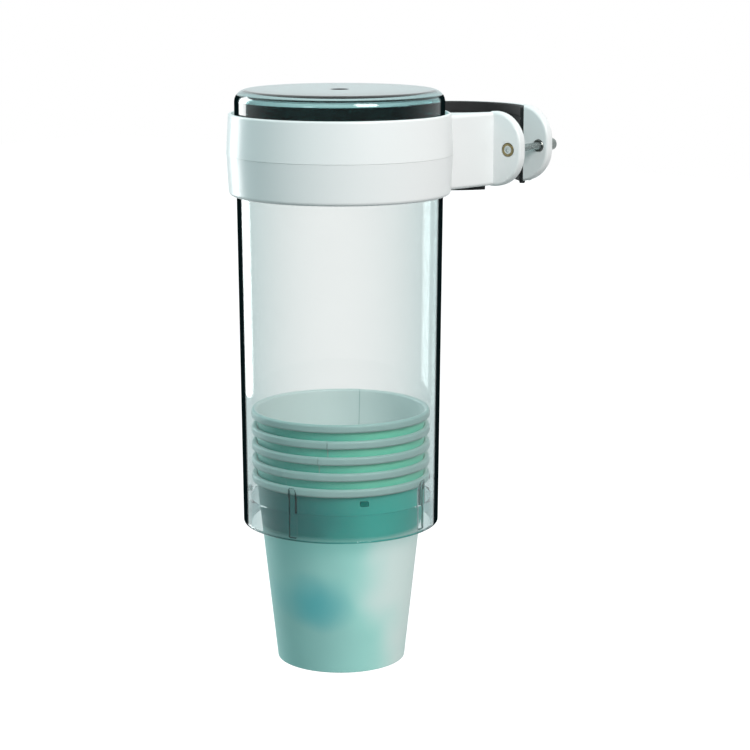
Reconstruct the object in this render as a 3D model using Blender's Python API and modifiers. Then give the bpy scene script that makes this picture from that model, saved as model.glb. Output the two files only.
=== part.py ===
"""Cup dispenser that clamps to a round post.

A white moulded bracket carries a ring on a short arm and grips the post with a second jaw, two screws
and rubber pads. A smoke-clear tube hangs in the ring by its flange and has a lid. Five nested paper
cups stand in the tube, the lowest rim on the ribs of a retainer in the tube's mouth.

Metres. The origin is on the post's axis, level with the ring's parting line. +Y runs from the tube to
the post and on to the rear jaw, and +Z is up.
"""

import math

import bmesh
import bpy
from mathutils import Matrix

# Clearances
FIT_GAP = 0.0003
SCREW_GAP = 0.0002
CUT_OVERRUN = 0.002
MERGE_DISTANCE = 0.00001

# Steps round a full turn, and along a rounded edge
TURN_STEPS = 48
SCREW_STEPS = 20
EDGE_STEPS = 3
RIM_STEPS = 7

# Paper cups
CUP_COUNT = 5
CUP_HEIGHT = 0.0793
CUP_PAPER = 0.00035
CUP_NEST_GAP = 0.00036
CUP_BASE_RADIUS = 0.0263
CUP_RIM_RADIUS = 0.0365
CUP_RIM_WIDTH = 0.00215
CUP_RIM_HEIGHT = 0.0034
CUP_DISC = 0.0004

# Retainer in the tube's mouth
RETAINER_HEIGHT = 0.011
RETAINER_WALL = 0.0012
RETAINER_RUNNING_GAP = 0.0004
RIB_COUNT = 4
RIB_GRIP = 0.00045
RIB_LENGTH = 0.0172
RIB_WIDTH = 0.004
RIB_INSET = 0.0002
RIB_SLOPE = math.radians(22)
RIB_TURN = math.radians(6.6)

# Tube
TUBE_LENGTH = 0.16255
TUBE_WALL = 0.0016
TUBE_DRAFT = 0.0105
TUBE_FLANGE_WIDTH = 0.00125
TUBE_FLANGE_HEIGHT = 0.002
PIP_WIDTH = 0.0033
PIP_HEIGHT = 0.002
PIP_RISE = 0.0168

# Lid
LID_HEIGHT = 0.01165
LID_WALL = 0.0018
LID_OVERLAP = 0.0019
LID_SHOULDER = 0.0048
LID_PLUG_DEPTH = 0.0065
LID_PLUG_WALL = 0.0015
LID_SEAT_HEIGHT = 0.0022
DIMPLE_RADIUS = 0.0037
DIMPLE_DEPTH = 0.0008

# Bracket
RING_HALF_HEIGHT = 0.01625
RING_RIM_WALL = 0.0012
RING_SWELL = 0.001
RING_EDGE = 0.0012
SEAT_DEPTH = 0.005
NECK_WALL = 0.00247
ARM_START = 0.030
ARM_ROOT_HALF_WIDTH = 0.0259
ARM_DROP = 0.0014
ARM_STEP = 0.0003
ARM_EDGE = 0.0015
ARM_WALL = 0.002
ARM_ROOF = 0.0025
POCKET_START = 0.014

# Jaws and pads
POST_RADIUS = 0.030
JAW_HEIGHT = 0.031
WING_WIDTH = 0.012
WING_FLAT = 0.004
REAR_WING_TRIM = 0.0013
REAR_WING_RISE = 0.0012
JAW_HALF_GAP = 0.0094
JAW_THICKNESS = 0.0045
JAW_EDGE = 0.0012
SADDLE_WALL = 0.0036
PAD_THICKNESS = 0.0024
PAD_OVERHANG = 0.0015
PAD_HALF_ANGLE = math.radians(62)

# Clamp screws and their thread inserts
SCREW_RADIUS = 0.0015
SCREW_LENGTH = 0.035
SCREW_TIP = 0.0003
HEAD_RADIUS = 0.0028
HEAD_RIM = 0.0003
HEAD_DEPTH = 0.0016
SOCKET_RADIUS = 0.00115
SOCKET_DEPTH = 0.0012
INSERT_RADIUS = 0.0025
INSERT_PROUD = 0.0003
INSERT_CHAMFER = 0.0002
INSERT_TAIL = 0.0064

# Sizes that follow from the ones above
RETAINER_INNER = CUP_RIM_RADIUS + RETAINER_RUNNING_GAP
RETAINER_OUTER = RETAINER_INNER + RETAINER_WALL
MOUTH_INNER = RETAINER_OUTER + FIT_GAP
SEAT_Z = RING_HALF_HEIGHT - SEAT_DEPTH
FLANGE_BOTTOM = SEAT_Z + FIT_GAP
FLANGE_TOP = FLANGE_BOTTOM + TUBE_FLANGE_HEIGHT
MOUTH_Z = FLANGE_BOTTOM - TUBE_LENGTH
TUBE_TOP_INNER = MOUTH_INNER + TUBE_DRAFT * (FLANGE_TOP - MOUTH_Z)
TUBE_TOP_OUTER = TUBE_TOP_INNER + TUBE_WALL
RING_BORE = TUBE_TOP_OUTER + FIT_GAP
FLANGE_RADIUS = TUBE_TOP_OUTER + TUBE_FLANGE_WIDTH
RING_MOUTH = FLANGE_RADIUS + FIT_GAP
RING_RADIUS = RING_MOUTH + RING_RIM_WALL
RIB_RADIUS = CUP_RIM_RADIUS - RIB_GRIP
RIB_SHOULDER = MOUTH_Z + RIB_LENGTH
SADDLE_RADIUS = POST_RADIUS + PAD_THICKNESS + FIT_GAP
JAW_FACE = JAW_HALF_GAP + JAW_THICKNESS
JAW_CORNER = (JAW_HEIGHT - WING_FLAT) / 2
JAW_HALF_WIDTH = SADDLE_RADIUS + WING_WIDTH
SCREW_OUT = SADDLE_RADIUS + WING_WIDTH / 2
ARM_REACH = RING_BORE + NECK_WALL + SADDLE_RADIUS
ARM_END_HALF_WIDTH = math.sqrt(SADDLE_RADIUS**2 - JAW_FACE**2) + ARM_WALL
WALL_SLOPE = (CUP_RIM_RADIUS - CUP_RIM_WIDTH + CUP_PAPER - CUP_BASE_RADIUS) / (
    CUP_HEIGHT - CUP_RIM_HEIGHT / 2
)
CUP_PITCH = (CUP_PAPER + CUP_NEST_GAP) / WALL_SLOPE


def rim_seat_height():
    """Height of a rim's middle above the ribs' shoulder when the rim rests on their slope."""
    half_width = CUP_RIM_WIDTH / 2
    reach = math.hypot(half_width * math.cos(RIB_SLOPE), CUP_RIM_HEIGHT / 2 * math.sin(RIB_SLOPE))
    inward = (RIB_RADIUS - CUP_RIM_RADIUS + half_width) * math.cos(RIB_SLOPE)
    return (reach + FIT_GAP - inward) / math.sin(RIB_SLOPE)


LOWEST_CUP_Z = RIB_SHOULDER + rim_seat_height() + CUP_RIM_HEIGHT / 2 - CUP_HEIGHT


def tube_inner(z):
    """The tube's inner radius at a height."""
    return MOUTH_INNER + TUBE_DRAFT * (z - MOUTH_Z)


def arc(centre_x, centre_y, radius_x, radius_y, start, end, steps):
    """Points along an arc of an ellipse, both ends included."""
    points = []
    for step in range(steps + 1):
        angle = start + (end - start) * step / steps
        points.append((centre_x + radius_x * math.cos(angle), centre_y + radius_y * math.sin(angle)))
    return points


def new_collection(name):
    """A collection linked to the scene."""
    collection = bpy.data.collections.new(name)
    bpy.context.scene.collection.children.link(collection)
    return collection


def finish(name, colour, roughness, metallic=0.0, alpha=1.0):
    """A Principled material."""
    material = bpy.data.materials.new(name)
    material.use_nodes = True
    shader = material.node_tree.nodes["Principled BSDF"]
    shader.inputs["Base Color"].default_value = (*colour, 1.0)
    shader.inputs["Roughness"].default_value = roughness
    shader.inputs["Metallic"].default_value = metallic
    shader.inputs["Alpha"].default_value = alpha
    material.diffuse_color = (*colour, alpha)
    return material


def add_part(name, mesh, material, place=Matrix()):
    """An object of the dispenser."""
    part = bpy.data.objects.new(name, mesh)
    part.matrix_world = place
    part.data.materials.clear()
    part.data.materials.append(material)
    parts.objects.link(part)
    return part


def add_cutter(name, mesh, place=Matrix()):
    """A solid that is cut from a part or joined to it."""
    cutter = bpy.data.objects.new(name, mesh)
    cutter.matrix_world = place
    cutter.hide_render = True
    cutter.display_type = "WIRE"
    cutters.objects.link(cutter)
    return cutter


def outline_mesh(name, points, closed):
    """A mesh of edges in the XZ plane, for turning about Z."""
    mesh = bpy.data.meshes.new(name)
    shape = bmesh.new()
    corners = [shape.verts.new((x, 0, z)) for x, z in points]
    for first, second in zip(corners, corners[1:]):
        shape.edges.new((first, second))
    if closed:
        shape.edges.new((corners[-1], corners[0]))
    shape.to_mesh(mesh)
    shape.free()
    return mesh


def turn(body, steps=TURN_STEPS):
    """Spins an outline about its object's Z axis."""
    screw = body.modifiers.new("turned", "SCREW")
    screw.axis = "Z"
    screw.angle = math.tau
    screw.steps = steps
    screw.render_steps = steps
    screw.use_merge_vertices = True
    screw.merge_threshold = MERGE_DISTANCE
    screw.use_smooth_shade = True
    return body


def prism(shape, points, depth, place=Matrix()):
    """Adds a flat outline in XY, pushed up by depth, to a bmesh."""
    face = shape.faces.new([shape.verts.new((x, y, 0)) for x, y in points])
    pushed = bmesh.ops.extrude_face_region(shape, geom=[face])
    top = [item for item in pushed["geom"] if isinstance(item, bmesh.types.BMVert)]
    bmesh.ops.translate(shape, verts=top, vec=(0, 0, depth))
    bmesh.ops.transform(shape, matrix=place, verts=list({*top, *face.verts}))


def prism_mesh(name, outlines, depth, places=(Matrix(),)):
    """A mesh of one prism for each outline at each place."""
    shape = bmesh.new()
    for place in places:
        for points in outlines:
            prism(shape, points, depth, place)
    bmesh.ops.recalc_face_normals(shape, faces=shape.faces)
    mesh = bpy.data.meshes.new(name)
    shape.to_mesh(mesh)
    shape.free()
    return mesh


def box_mesh(name, low, high):
    """A box between two corners."""
    shape = bmesh.new()
    bmesh.ops.create_cube(shape, size=1)
    middle = [(a + b) / 2 for a, b in zip(low, high)]
    size = [b - a for a, b in zip(low, high)]
    bmesh.ops.transform(
        shape, matrix=Matrix.Translation(middle) @ Matrix.Diagonal((*size, 1)), verts=shape.verts
    )
    mesh = bpy.data.meshes.new(name)
    shape.to_mesh(mesh)
    shape.free()
    return mesh


def cylinder_mesh(name, radius, low, high, steps=TURN_STEPS):
    """An upright cylinder on the local Z axis."""
    shape = bmesh.new()
    bmesh.ops.create_cone(
        shape, cap_ends=True, segments=steps, radius1=radius, radius2=radius, depth=high - low,
        matrix=Matrix.Translation((0, 0, (low + high) / 2)),
    )
    mesh = bpy.data.meshes.new(name)
    shape.to_mesh(mesh)
    shape.free()
    return mesh


def round_edges(body, width):
    """Rounds the sharp edges of a solid."""
    bevel = body.modifiers.new("rounded edges", "BEVEL")
    bevel.width = width
    bevel.segments = EDGE_STEPS - 1
    bevel.limit_method = "ANGLE"
    bevel.angle_limit = math.radians(40)


def combine(body, other, operation):
    """A Boolean of body with a cutter: DIFFERENCE or UNION."""
    boolean = body.modifiers.new(other.name, "BOOLEAN")
    boolean.operation = operation
    boolean.solver = "EXACT"
    boolean.object = other


def mirrored(points):
    """An outline's reflection in its Y axis."""
    return [(-x, y) for x, y in points]


TUBE_AXIS = Matrix.Translation((0, -ARM_REACH, 0))
STANDING = Matrix.Rotation(math.pi / 2, 4, "X")
ALONG_Y = Matrix.Rotation(-math.pi / 2, 4, "X")


def arm_half_width(y):
    """The flared arm's half width at a place along Y."""
    root = ARM_START - ARM_REACH
    share = (y - root) / (-JAW_FACE - root)
    return ARM_ROOT_HALF_WIDTH + (ARM_END_HALF_WIDTH - ARM_ROOT_HALF_WIDTH) * share


def arm_outline(inset=0.0):
    """The arm's plan from inside the ring to the middle of the front jaw."""
    root = ARM_START - ARM_REACH
    end = -JAW_FACE + JAW_THICKNESS / 2
    return [
        (-arm_half_width(root) + inset, root),
        (arm_half_width(root) - inset, root),
        (arm_half_width(end) - inset, end),
        (-arm_half_width(end) + inset, end),
    ]


def jaw_outline(trim=0.0, raised=0.0):
    """The front view of both wings of a jaw: a bar with well rounded ends, cut short and raised on top."""
    corner = JAW_CORNER + raised / 2
    out, rise = JAW_HALF_WIDTH - trim - corner, (JAW_HEIGHT + raised) / 2 - corner
    middle = raised / 2 - ARM_DROP
    corners = ((out, -rise, -math.pi / 2), (out, rise, 0), (-out, rise, math.pi / 2), (-out, -rise, math.pi))
    points = []
    for x, z, start in corners:
        turned = start + math.pi / 2
        points += arc(x, z + middle, corner, corner, start, turned, TURN_STEPS // 6)
    return points


def jaw_plate_mesh(name, trim=0.0, raised=0.0):
    """A jaw's plate, from its back face towards the ring."""
    return prism_mesh(name, [jaw_outline(trim, raised)], JAW_THICKNESS)


def ring_blank():
    """The ring's outside, filled to its axis, widest at the parting line."""
    edge_z = RING_HALF_HEIGHT - RING_EDGE
    edge_r = RING_RADIUS - RING_EDGE
    top = arc(edge_r, edge_z, RING_EDGE, RING_EDGE, math.pi / 2, 0, EDGE_STEPS)
    bottom = arc(edge_r, -edge_z, RING_EDGE, RING_EDGE, 0, -math.pi / 2, EDGE_STEPS)
    middle = [(RING_RADIUS + RING_SWELL, 0)]
    points = [(0, RING_HALF_HEIGHT), *top, *middle, *bottom, (0, -RING_HALF_HEIGHT)]
    return turn(add_cutter("ring_blank", outline_mesh("ring_blank", points, False), TUBE_AXIS))


def ring_bore():
    """The space for the tube, with the ledge that its flange hangs on."""
    top = RING_HALF_HEIGHT + CUT_OVERRUN
    bottom = -RING_HALF_HEIGHT - CUT_OVERRUN
    points = [
        (0, top), (RING_MOUTH, top), (RING_MOUTH, SEAT_Z),
        (RING_BORE, SEAT_Z), (RING_BORE, bottom), (0, bottom),
    ]
    return turn(add_cutter("ring_bore", outline_mesh("ring_bore", points, False), TUBE_AXIS))


def post_space(name):
    """The space for the post and the pad round it."""
    half_height = JAW_HEIGHT / 2 + ARM_DROP + CUT_OVERRUN
    return add_cutter(name, cylinder_mesh(name, SADDLE_RADIUS, -half_height, half_height))


def arm_pockets():
    """Two cored pockets, open below, between the ring, the post's saddle and the arm's sides."""
    root = ARM_START - ARM_REACH
    side = [
        (POCKET_START, root),
        (arm_half_width(root) - ARM_WALL, root),
        (arm_half_width(-JAW_FACE) - ARM_WALL, -JAW_FACE),
        (POCKET_START, -JAW_FACE),
    ]
    bottom = -ARM_DROP - JAW_HEIGHT / 2 - CUT_OVERRUN
    top = -ARM_DROP + JAW_HEIGHT / 2 - ARM_STEP - ARM_ROOF
    lift = Matrix.Translation((0, 0, bottom))
    mesh = prism_mesh("arm_pockets", [side, mirrored(side)], top - bottom, [lift])
    pockets = add_cutter("arm_pockets", mesh)
    low, high = bottom - CUT_OVERRUN, top + CUT_OVERRUN
    ring_core = cylinder_mesh("ring_core", RING_BORE + ARM_WALL, low, high)
    combine(pockets, add_cutter("ring_core", ring_core, TUBE_AXIS), "DIFFERENCE")
    post_core = cylinder_mesh("post_core", SADDLE_RADIUS + ARM_WALL, low, high)
    combine(pockets, add_cutter("post_core", post_core), "DIFFERENCE")
    return pockets


def screw_place(side):
    """Where a clamp screw's head lies, with local +Z along its shank."""
    return Matrix.Translation((side * SCREW_OUT, -JAW_FACE, -ARM_DROP)) @ ALONG_Y


def countersink(name, side):
    """A screw's hole in the front jaw, with the cone for its head."""
    hole, head = SCREW_RADIUS + SCREW_GAP, HEAD_RADIUS + SCREW_GAP
    end = JAW_THICKNESS + CUT_OVERRUN
    points = [
        (0, end), (hole, end), (hole, HEAD_DEPTH + SCREW_GAP),
        (head, HEAD_RIM + SCREW_GAP), (head, -CUT_OVERRUN), (0, -CUT_OVERRUN),
    ]
    return turn(add_cutter(name, outline_mesh(name, points, False), screw_place(side)), SCREW_STEPS)


def make_bracket():
    """Ring, arm and front jaw in one moulding."""
    height = JAW_HEIGHT - 2 * ARM_STEP
    lift = Matrix.Translation((0, 0, -ARM_DROP - height / 2))
    bracket = add_part("bracket", prism_mesh("bracket", [arm_outline()], height, [lift]), white_plastic)
    round_edges(bracket, ARM_EDGE)
    combine(bracket, ring_blank(), "UNION")
    front = Matrix.Translation((0, -JAW_HALF_GAP, 0)) @ STANDING
    plate = add_cutter("front_plate", jaw_plate_mesh("front_plate"), front)
    round_edges(plate, JAW_EDGE)
    combine(bracket, plate, "UNION")
    combine(bracket, ring_bore(), "DIFFERENCE")
    combine(bracket, post_space("bracket_post_space"), "DIFFERENCE")
    combine(bracket, arm_pockets(), "DIFFERENCE")
    for name, side in SIDES:
        combine(bracket, countersink("countersink_" + name, side), "DIFFERENCE")
    return bracket


def saddle_blank():
    """The half round wall of the rear jaw, behind the middle of its plate."""
    height = JAW_HEIGHT / 2 - ARM_STEP
    radius = SADDLE_RADIUS + SADDLE_WALL
    mesh = cylinder_mesh("saddle_blank", radius, -ARM_DROP - height, -ARM_DROP + height)
    saddle = add_cutter("saddle_blank", mesh)
    round_edges(saddle, JAW_EDGE)
    front = -radius - CUT_OVERRUN
    half_height = JAW_HEIGHT + CUT_OVERRUN
    low = (front, front, -half_height)
    high = (-front, JAW_HALF_GAP + JAW_THICKNESS / 2, half_height)
    combine(saddle, add_cutter("saddle_front", box_mesh("saddle_front", low, high)), "DIFFERENCE")
    return saddle


def insert_hole(name, side):
    """The hole that holds a thread insert in the rear jaw."""
    place = Matrix.Translation((side * SCREW_OUT, 0, -ARM_DROP)) @ ALONG_Y
    low, high = JAW_HALF_GAP - CUT_OVERRUN, JAW_FACE + CUT_OVERRUN
    mesh = cylinder_mesh(name, INSERT_RADIUS + SCREW_GAP, low, high, SCREW_STEPS)
    return add_cutter(name, mesh, place)


def make_rear_jaw():
    """The loose jaw: two wings and a half round saddle."""
    place = Matrix.Translation((0, JAW_FACE, 0)) @ STANDING
    plate = jaw_plate_mesh("rear_jaw", REAR_WING_TRIM, REAR_WING_RISE)
    jaw = add_part("rear_jaw", plate, white_plastic, place)
    round_edges(jaw, JAW_EDGE)
    combine(jaw, saddle_blank(), "UNION")
    combine(jaw, post_space("jaw_post_space"), "DIFFERENCE")
    for name, side in SIDES:
        combine(jaw, insert_hole("insert_hole_" + name, side), "DIFFERENCE")
    return jaw


def make_pad(name, middle):
    """A rubber liner bonded in a saddle, centred on the plan angle middle."""
    start, end = middle - PAD_HALF_ANGLE, middle + PAD_HALF_ANGLE
    steps = TURN_STEPS // 3
    inner, outer = POST_RADIUS, POST_RADIUS + PAD_THICKNESS
    outline = arc(0, 0, outer, outer, start, end, steps) + arc(0, 0, inner, inner, end, start, steps)
    bottom = -ARM_DROP - JAW_HEIGHT / 2 - PAD_OVERHANG
    top = -ARM_DROP + JAW_HEIGHT / 2 - ARM_STEP
    mesh = prism_mesh(name, [outline], top - bottom, [Matrix.Translation((0, 0, bottom))])
    return add_part(name, mesh, black_rubber)


def make_screw(name, side):
    """A countersunk clamp screw with a hexagon socket."""
    points = [
        (0, SCREW_LENGTH), (SCREW_RADIUS - SCREW_TIP, SCREW_LENGTH),
        (SCREW_RADIUS, SCREW_LENGTH - SCREW_TIP), (SCREW_RADIUS, HEAD_DEPTH),
        (HEAD_RADIUS, HEAD_RIM), (HEAD_RADIUS, 0), (0, 0),
    ]
    screw = add_part(name, outline_mesh(name, points, False), bright_steel, screw_place(side))
    turn(screw, SCREW_STEPS)
    socket = cylinder_mesh(name + "_socket", SOCKET_RADIUS, -CUT_OVERRUN, SOCKET_DEPTH, 6)
    combine(screw, add_cutter(name + "_socket", socket, screw_place(side)), "DIFFERENCE")
    return screw


def make_insert(name, side):
    """A brass thread insert that runs through the rear jaw's wing and out behind it."""
    outer, inner = INSERT_RADIUS, SCREW_RADIUS + SCREW_GAP
    low, high = JAW_HALF_GAP - INSERT_PROUD, JAW_FACE + INSERT_TAIL
    points = [
        (inner, high), (outer - INSERT_CHAMFER, high), (outer, high - INSERT_CHAMFER),
        (outer, low + INSERT_CHAMFER), (outer - INSERT_CHAMFER, low), (inner, low),
    ]
    place = Matrix.Translation((side * SCREW_OUT, 0, -ARM_DROP)) @ ALONG_Y
    return turn(add_part(name, outline_mesh(name, points, True), brass, place), SCREW_STEPS)


def tube_pips():
    """Small stops inside the tube, half way between the ribs, just under the lowest rim."""
    low = MOUTH_Z + PIP_RISE - PIP_HEIGHT
    inner = RETAINER_INNER
    outer = tube_inner(low) + TUBE_WALL / 2
    half = PIP_WIDTH / 2
    outline = [(inner, -half), (outer, -half), (outer, half), (inner, half)]
    places = []
    for number in range(RIB_COUNT):
        angle = RIB_TURN + math.tau * (number + 1 / 2) / RIB_COUNT - math.pi / 2
        places.append(Matrix.Rotation(angle, 4, "Z") @ Matrix.Translation((0, 0, low)))
    return add_cutter("tube_pips", prism_mesh("tube_pips", [outline], PIP_HEIGHT, places), TUBE_AXIS)


def make_tube():
    """The smoke-clear tube, with a flange at its top and a round lip at its mouth."""
    half_wall = TUBE_WALL / 2
    flange_outer = tube_inner(FLANGE_BOTTOM) + TUBE_WALL
    lip_r, lip_z = MOUTH_INNER + half_wall, MOUTH_Z + half_wall
    lip = arc(lip_r, lip_z, half_wall, half_wall, 0, -math.pi, 2 * EDGE_STEPS)
    points = [
        (TUBE_TOP_INNER, FLANGE_TOP), (FLANGE_RADIUS, FLANGE_TOP), (FLANGE_RADIUS, FLANGE_BOTTOM),
        (flange_outer, FLANGE_BOTTOM), *lip,
    ]
    tube = turn(add_part("tube", outline_mesh("tube", points, True), smoke_plastic, TUBE_AXIS))
    combine(tube, tube_pips(), "UNION")
    return tube


def rib_blanks():
    """The retainer's ribs: wedges that narrow the mouth below a slope."""
    back = RETAINER_OUTER - RIB_INSET
    top = RIB_SHOULDER + (back - RIB_RADIUS) / math.tan(RIB_SLOPE)
    low = MOUTH_Z + 2 * RIB_INSET
    outline = [(RIB_RADIUS, low), (back, low), (back, top), (RIB_RADIUS, RIB_SHOULDER)]
    upright = Matrix.Translation((0, RIB_WIDTH / 2, 0)) @ STANDING
    places = []
    for number in range(RIB_COUNT):
        angle = RIB_TURN + math.tau * number / RIB_COUNT - math.pi / 2
        places.append(Matrix.Rotation(angle, 4, "Z") @ upright)
    return add_cutter("rib_blanks", prism_mesh("rib_blanks", [outline], RIB_WIDTH, places), TUBE_AXIS)


def make_retainer():
    """The clear ring in the mouth, whose ribs spring as a rim is pulled past."""
    low, high = MOUTH_Z + RIB_INSET, MOUTH_Z + RETAINER_HEIGHT
    inner, outer = RETAINER_INNER, RETAINER_OUTER
    mesh = outline_mesh("cup_retainer", [(inner, high), (outer, high), (outer, low), (inner, low)], True)
    retainer = turn(add_part("cup_retainer", mesh, smoke_plastic, TUBE_AXIS))
    combine(retainer, rib_blanks(), "UNION")
    return retainer


def make_lid():
    """The cap: a round shoulder, a skirt that stands on the flange and a plug inside the tube."""
    low = FLANGE_TOP + FIT_GAP
    top = low + LID_HEIGHT
    outer = TUBE_TOP_INNER + LID_OVERLAP
    plug = TUBE_TOP_INNER - FIT_GAP
    plug_low = low - LID_PLUG_DEPTH
    plug_inner = plug - LID_PLUG_WALL
    shoulder_r = outer - LID_SHOULDER
    inside = LID_SHOULDER - LID_WALL
    points = [
        (0, top - DIMPLE_DEPTH), (DIMPLE_RADIUS - DIMPLE_DEPTH, top - DIMPLE_DEPTH), (DIMPLE_RADIUS, top),
        *arc(shoulder_r, top - LID_SHOULDER, LID_SHOULDER, LID_SHOULDER, math.pi / 2, 0, 2 * EDGE_STEPS),
        (outer, low), (plug, low), (plug, plug_low), (plug_inner, plug_low),
        (plug_inner, low), (outer - LID_WALL, low + LID_SEAT_HEIGHT),
        *arc(shoulder_r, top - LID_SHOULDER, inside, inside, 0, math.pi / 2, EDGE_STEPS),
        (0, top - LID_WALL),
    ]
    return turn(add_part("lid", outline_mesh("lid", points, False), smoke_plastic, TUBE_AXIS))


def cup_wall_points():
    """A cup's side wall and rolled rim, from the top of the rim down its outside."""
    half_width, half_height = CUP_RIM_WIDTH / 2, CUP_RIM_HEIGHT / 2
    rim_r, rim_middle = CUP_RIM_RADIUS - half_width, CUP_HEIGHT - half_height
    rim = arc(rim_r, rim_middle, half_width, half_height, math.pi / 2, -math.pi * 2 / 3, RIM_STEPS)
    under = rim[-1][1]
    return [
        *rim,
        (CUP_BASE_RADIUS + WALL_SLOPE * under, under),
        (CUP_BASE_RADIUS, 0),
        (CUP_BASE_RADIUS - CUP_PAPER, 0),
        (CUP_BASE_RADIUS - CUP_PAPER + WALL_SLOPE * rim_middle, rim_middle),
    ]


def cup_base_points():
    """A cup's base disc and its skirt, just inside the side wall."""
    top = CUP_PITCH - FIT_GAP
    inset = CUP_PAPER + FIT_GAP
    skirt = CUP_BASE_RADIUS - inset
    return [
        (0, top),
        (skirt + WALL_SLOPE * top, top),
        (skirt + WALL_SLOPE * FIT_GAP, FIT_GAP),
        (skirt - CUP_PAPER + WALL_SLOPE * FIT_GAP, FIT_GAP),
        (skirt - CUP_PAPER + WALL_SLOPE * top, top - CUP_DISC),
        (0, top - CUP_DISC),
    ]


def make_cups():
    """The nested stack. Cup 1 is the top one."""
    wall = outline_mesh("cup_wall", cup_wall_points(), True)
    base = outline_mesh("cup_base", cup_base_points(), False)
    for number in range(1, CUP_COUNT + 1):
        height = LOWEST_CUP_Z + (CUP_COUNT - number) * CUP_PITCH
        place = TUBE_AXIS @ Matrix.Translation((0, 0, height))
        turn(add_part(f"cup_{number}_wall", wall, cup_paper, place))
        turn(add_part(f"cup_{number}_base", base, cup_paper, place))


for item in list(bpy.data.objects):
    bpy.data.objects.remove(item)

parts = new_collection("cup_dispenser")
cutters = new_collection("cup_dispenser_cutters")
SIDES = (("right", 1), ("left", -1))

white_plastic = finish("white_plastic", (0.86, 0.88, 0.88), 0.25)
black_rubber = finish("black_rubber", (0.02, 0.02, 0.02), 0.8)
bright_steel = finish("bright_steel", (0.62, 0.62, 0.6), 0.3, 1.0)
brass = finish("brass", (0.7, 0.52, 0.25), 0.35, 1.0)
smoke_plastic = finish("smoke_plastic", (0.75, 0.82, 0.82), 0.1, 0.0, 0.3)
cup_paper = finish("cup_paper", (0.62, 0.8, 0.78), 0.5)

make_bracket()
make_rear_jaw()
make_pad("front_pad", -math.pi / 2)
make_pad("rear_pad", math.pi / 2)
for side_name, side_sign in SIDES:
    make_screw("clamp_screw_" + side_name, side_sign)
    make_insert("thread_insert_" + side_name, side_sign)
make_tube()
make_retainer()
make_lid()
make_cups()
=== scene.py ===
"""Cup dispenser on a screwed clamp: a white bracket, a smoke-clear tube with its lid, and five
nested paper cups. Metres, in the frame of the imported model."""

import math
from functools import partial

import bmesh
import bpy
from mathutils import Matrix, Vector


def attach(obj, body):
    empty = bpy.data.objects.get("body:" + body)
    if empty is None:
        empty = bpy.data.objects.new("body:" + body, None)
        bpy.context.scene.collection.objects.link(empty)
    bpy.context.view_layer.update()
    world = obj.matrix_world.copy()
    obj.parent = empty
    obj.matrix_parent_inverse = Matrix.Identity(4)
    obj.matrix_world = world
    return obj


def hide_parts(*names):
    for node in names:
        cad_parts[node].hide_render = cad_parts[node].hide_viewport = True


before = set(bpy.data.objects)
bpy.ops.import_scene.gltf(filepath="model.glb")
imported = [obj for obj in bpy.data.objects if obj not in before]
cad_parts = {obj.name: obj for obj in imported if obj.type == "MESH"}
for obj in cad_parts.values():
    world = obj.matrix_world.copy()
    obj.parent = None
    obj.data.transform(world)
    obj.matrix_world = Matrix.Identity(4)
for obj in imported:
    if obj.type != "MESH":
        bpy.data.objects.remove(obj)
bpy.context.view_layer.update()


# The studio. The camera looks down a little on the front right of the dispenser. Pale paper lies
# far below it, the light behind it is white, and soft boxes stand on the right, the left and
# behind.
PHOTO_TURN = 36.6
camera_data = bpy.data.cameras.new("camera")
camera_data.lens = 106.692
camera_data.sensor_width = 36
camera = bpy.data.objects.new("camera", camera_data)
camera.location = (0.54173, -0.78303, 0.08728)
camera.rotation_euler = (math.radians(78.6974), 0, math.radians(PHOTO_TURN))
bpy.context.scene.collection.objects.link(camera)
bpy.context.scene.camera = camera
bpy.context.scene.view_settings.view_transform = "Standard"


class Value:
    """A node's output. Arithmetic on it adds Math nodes."""

    def __init__(self, nodes, socket):
        self.nodes = nodes
        self.socket = socket

    def reckon(self, operation, first, second):
        return self.nodes.add("Math", {"operation": operation}, {0: first, 1: second})

    def __add__(self, other):
        return self.reckon("ADD", self, other)

    def __radd__(self, other):
        return self.reckon("ADD", other, self)

    def __sub__(self, other):
        return self.reckon("SUBTRACT", self, other)

    def __rsub__(self, other):
        return self.reckon("SUBTRACT", other, self)

    def __mul__(self, other):
        return self.reckon("MULTIPLY", self, other)

    def __rmul__(self, other):
        return self.reckon("MULTIPLY", other, self)

    def __truediv__(self, other):
        return self.reckon("DIVIDE", self, other)

    def __pow__(self, other):
        return self.reckon("POWER", self, other)


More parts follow.
